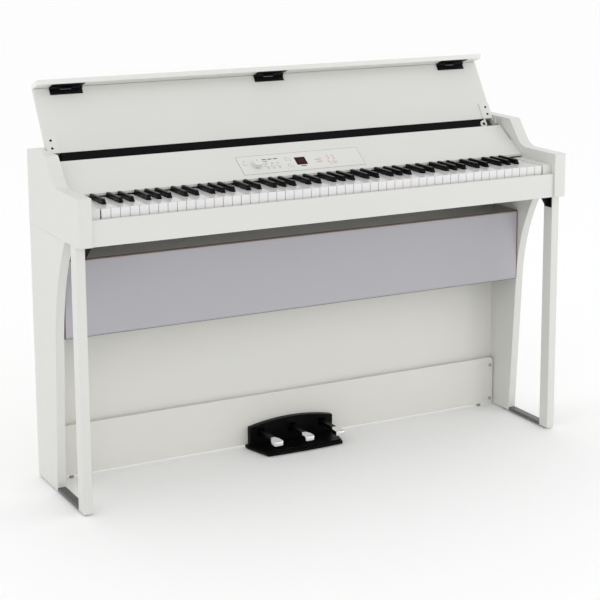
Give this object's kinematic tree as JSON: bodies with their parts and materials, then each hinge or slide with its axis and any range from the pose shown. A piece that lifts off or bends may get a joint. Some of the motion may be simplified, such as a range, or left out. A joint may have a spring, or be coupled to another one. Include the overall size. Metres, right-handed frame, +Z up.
{
  "type": "digital piano on stand",
  "caption": "Slim white digital piano on a board stand: lid that opens into a music rest, weighted keyboard, control plate, speaker bar and a pedal unit.",
  "frame": {"origin": "on the floor, under the middle of the part's outline with the lid open", "axes": "+X along the keyboard from bass to treble, +Y from the player towards the back, +Z up"},
  "size_m": [1.346, 0.405, 0.9925],
  "materials": {
    "white_lacquer": "satin white lacquer on board",
    "shaded_panel": "satin white lacquer on board",
    "black_trim": "semi-gloss black",
    "gloss_black": "gloss black lacquer on board",
    "black_metal": "black coated steel",
    "steel": "zinc-plated steel",
    "chrome": "polished chrome",
    "white_plastic": "satin white plastic",
    "white_keys": "polished ivory-white plastic",
    "black_keys": "satin black plastic",
    "frame_plastic": "grey moulded plastic",
    "speaker_cloth": "woven light grey cloth",
    "display": "smoked window",
    "driver": "dark cone and basket",
    "circuit": "green circuit board"
  },
  "bodies": {
    "case": {"side_board_left": "white_lacquer", "side_board_right": "white_lacquer", "front_leg_left": "white_lacquer", "front_leg_right": "white_lacquer", "foot_bars": "steel", "glides": "black_trim", "corner_brackets": "black_metal", "cheek_left": "white_lacquer", "cheek_right": "white_lacquer", "keybed": "shaded_panel", "key_slip": "white_lacquer", "key_blocks": "white_lacquer", "control_fascia": "white_lacquer", "control_plate": "white_plastic", "display_window": "display", "top_board": "white_lacquer", "rear_board": "white_lacquer", "rear_tray": "black_trim", "back_panel": "shaded_panel", "kick_board": "shaded_panel", "kick_screws": "steel", "speaker_box": "gloss_black", "speaker_cloth": "speaker_cloth", "speaker_drivers": "driver", "pedal_housing": "black_trim", "pedal_rod": "steel", "key_frame": "frame_plastic", "key_rod": "steel", "main_board": "circuit", "sockets": "black_trim"},
    "lid": {"lid_panel": "white_lacquer", "music_ledge": "black_trim", "lid_arms": "steel", "panel_hinge_leaves": "black_metal"},
    "flap": {"front_flap": "white_lacquer", "flap_hinge_leaves": "black_metal"},
    "volume_knob": {"volume_knob": "white_plastic"},
    "pedal_left": {"pedal_left": "chrome"},
    "pedal_middle": {"pedal_middle": "chrome"},
    "pedal_right": {"pedal_right": "chrome"},
    "power_button": {"power_button": "white_plastic"},
    "voice_button_1": {"voice_button_1": "white_plastic"},
    "voice_button_2": {"voice_button_2": "white_plastic"},
    "voice_button_3": {"voice_button_3": "white_plastic"},
    "song_button": {"song_button": "white_plastic"},
    "metronome_button": {"metronome_button": "white_plastic"},
    "value_down_button": {"value_down_button": "white_plastic"},
    "value_up_button": {"value_up_button": "white_plastic"},
    "keys_a": {"keys_a": "white_keys"},
    "keys_a_sharp": {"keys_a_sharp": "black_keys"},
    "keys_b": {"keys_b": "white_keys"},
    "keys_c": {"keys_c": "white_keys"},
    "keys_c_sharp": {"keys_c_sharp": "black_keys"},
    "keys_d": {"keys_d": "white_keys"},
    "keys_d_sharp": {"keys_d_sharp": "black_keys"},
    "keys_e": {"keys_e": "white_keys"},
    "keys_f": {"keys_f": "white_keys"},
    "keys_f_sharp": {"keys_f_sharp": "black_keys"},
    "keys_g": {"keys_g": "white_keys"},
    "keys_g_sharp": {"keys_g_sharp": "black_keys"}
  },
  "joints": [
    {"name": "lid_close", "type": "hinge", "parent": "case", "child": "lid", "pos_m": [0, 0.07951, 0.809], "axis": [1, 0, 0], "range_deg": [0, 122.2]},
    {"name": "flap_fold", "type": "hinge", "parent": "lid", "child": "flap", "pos_m": [0, 0.18054, 0.96625], "axis": [1, 0, 0], "range_deg": [0, 70]},
    {"name": "volume_turn", "type": "hinge", "parent": "case", "child": "volume_knob", "pos_m": [-0.131, -0.00785, 0.76716], "axis": [0, -0.5508, 0.8346], "range_deg": [-150, 150]},
    {"name": "pedal_left_press", "type": "hinge", "parent": "case", "child": "pedal_left", "pos_m": [-0.09, 0.07701, 0.043], "axis": [1, 0, 0], "range_deg": [0, 6], "stiffness_Nm_per_rad": 9, "springref_deg": -5.73},
    {"name": "pedal_middle_press", "type": "hinge", "parent": "case", "child": "pedal_middle", "pos_m": [0, 0.07701, 0.043], "axis": [1, 0, 0], "range_deg": [0, 6], "stiffness_Nm_per_rad": 9, "springref_deg": -5.73},
    {"name": "pedal_right_press", "type": "hinge", "parent": "case", "child": "pedal_right", "pos_m": [0.09, 0.07701, 0.043], "axis": [1, 0, 0], "range_deg": [0, 6], "stiffness_Nm_per_rad": 9, "springref_deg": -5.73},
    {"name": "power_button_press", "type": "slide", "parent": "case", "child": "power_button", "axis": [0, 0.5508, -0.8346], "range_m": [0, 0.0008], "stiffness_N_per_m": 300, "springref_m": -0.002},
    {"name": "voice_button_1_press", "type": "slide", "parent": "case", "child": "voice_button_1", "axis": [0, 0.5508, -0.8346], "range_m": [0, 0.0008], "stiffness_N_per_m": 300, "springref_m": -0.002},
    {"name": "voice_button_2_press", "type": "slide", "parent": "case", "child": "voice_button_2", "axis": [0, 0.5508, -0.8346], "range_m": [0, 0.0008], "stiffness_N_per_m": 300, "springref_m": -0.002},
    {"name": "voice_button_3_press", "type": "slide", "parent": "case", "child": "voice_button_3", "axis": [0, 0.5508, -0.8346], "range_m": [0, 0.0008], "stiffness_N_per_m": 300, "springref_m": -0.002},
    {"name": "song_button_press", "type": "slide", "parent": "case", "child": "song_button", "axis": [0, 0.5508, -0.8346], "range_m": [0, 0.0008], "stiffness_N_per_m": 300, "springref_m": -0.002},
    {"name": "metronome_button_press", "type": "slide", "parent": "case", "child": "metronome_button", "axis": [0, 0.5508, -0.8346], "range_m": [0, 0.0008], "stiffness_N_per_m": 300, "springref_m": -0.002},
    {"name": "value_down_button_press", "type": "slide", "parent": "case", "child": "value_down_button", "axis": [0, 0.5508, -0.8346], "range_m": [0, 0.0008], "stiffness_N_per_m": 300, "springref_m": -0.002},
    {"name": "value_up_button_press", "type": "slide", "parent": "case", "child": "value_up_button", "axis": [0, 0.5508, -0.8346], "range_m": [0, 0.0008], "stiffness_N_per_m": 300, "springref_m": -0.002},
    {"name": "keys_a_press", "type": "hinge", "parent": "case", "child": "keys_a", "pos_m": [0, 0.02651, 0.719], "axis": [1, 0, 0], "range_deg": [0, 2.4], "stiffness_Nm_per_rad": 14, "springref_deg": -6.88},
    {"name": "keys_a_sharp_press", "type": "hinge", "parent": "case", "child": "keys_a_sharp", "pos_m": [0, 0.02651, 0.719], "axis": [1, 0, 0], "range_deg": [0, 2.4], "stiffness_Nm_per_rad": 14, "springref_deg": -6.88},
    {"name": "keys_b_press", "type": "hinge", "parent": "case", "child": "keys_b", "pos_m": [0, 0.02651, 0.719], "axis": [1, 0, 0], "range_deg": [0, 2.4], "stiffness_Nm_per_rad": 14, "springref_deg": -6.88},
    {"name": "keys_c_press", "type": "hinge", "parent": "case", "child": "keys_c", "pos_m": [0, 0.02651, 0.719], "axis": [1, 0, 0], "range_deg": [0, 2.4], "stiffness_Nm_per_rad": 14, "springref_deg": -6.88},
    {"name": "keys_c_sharp_press", "type": "hinge", "parent": "case", "child": "keys_c_sharp", "pos_m": [0, 0.02651, 0.719], "axis": [1, 0, 0], "range_deg": [0, 2.4], "stiffness_Nm_per_rad": 14, "springref_deg": -6.88},
    {"name": "keys_d_press", "type": "hinge", "parent": "case", "child": "keys_d", "pos_m": [0, 0.02651, 0.719], "axis": [1, 0, 0], "range_deg": [0, 2.4], "stiffness_Nm_per_rad": 14, "springref_deg": -6.88},
    {"name": "keys_d_sharp_press", "type": "hinge", "parent": "case", "child": "keys_d_sharp", "pos_m": [0, 0.02651, 0.719], "axis": [1, 0, 0], "range_deg": [0, 2.4], "stiffness_Nm_per_rad": 14, "springref_deg": -6.88},
    {"name": "keys_e_press", "type": "hinge", "parent": "case", "child": "keys_e", "pos_m": [0, 0.02651, 0.719], "axis": [1, 0, 0], "range_deg": [0, 2.4], "stiffness_Nm_per_rad": 14, "springref_deg": -6.88},
    {"name": "keys_f_press", "type": "hinge", "parent": "case", "child": "keys_f", "pos_m": [0, 0.02651, 0.719], "axis": [1, 0, 0], "range_deg": [0, 2.4], "stiffness_Nm_per_rad": 14, "springref_deg": -6.88},
    {"name": "keys_f_sharp_press", "type": "hinge", "parent": "case", "child": "keys_f_sharp", "pos_m": [0, 0.02651, 0.719], "axis": [1, 0, 0], "range_deg": [0, 2.4], "stiffness_Nm_per_rad": 14, "springref_deg": -6.88},
    {"name": "keys_g_press", "type": "hinge", "parent": "case", "child": "keys_g", "pos_m": [0, 0.02651, 0.719], "axis": [1, 0, 0], "range_deg": [0, 2.4], "stiffness_Nm_per_rad": 14, "springref_deg": -6.88},
    {"name": "keys_g_sharp_press", "type": "hinge", "parent": "case", "child": "keys_g_sharp", "pos_m": [0, 0.02651, 0.719], "axis": [1, 0, 0], "range_deg": [0, 2.4], "stiffness_Nm_per_rad": 14, "springref_deg": -6.88}
  ]
}
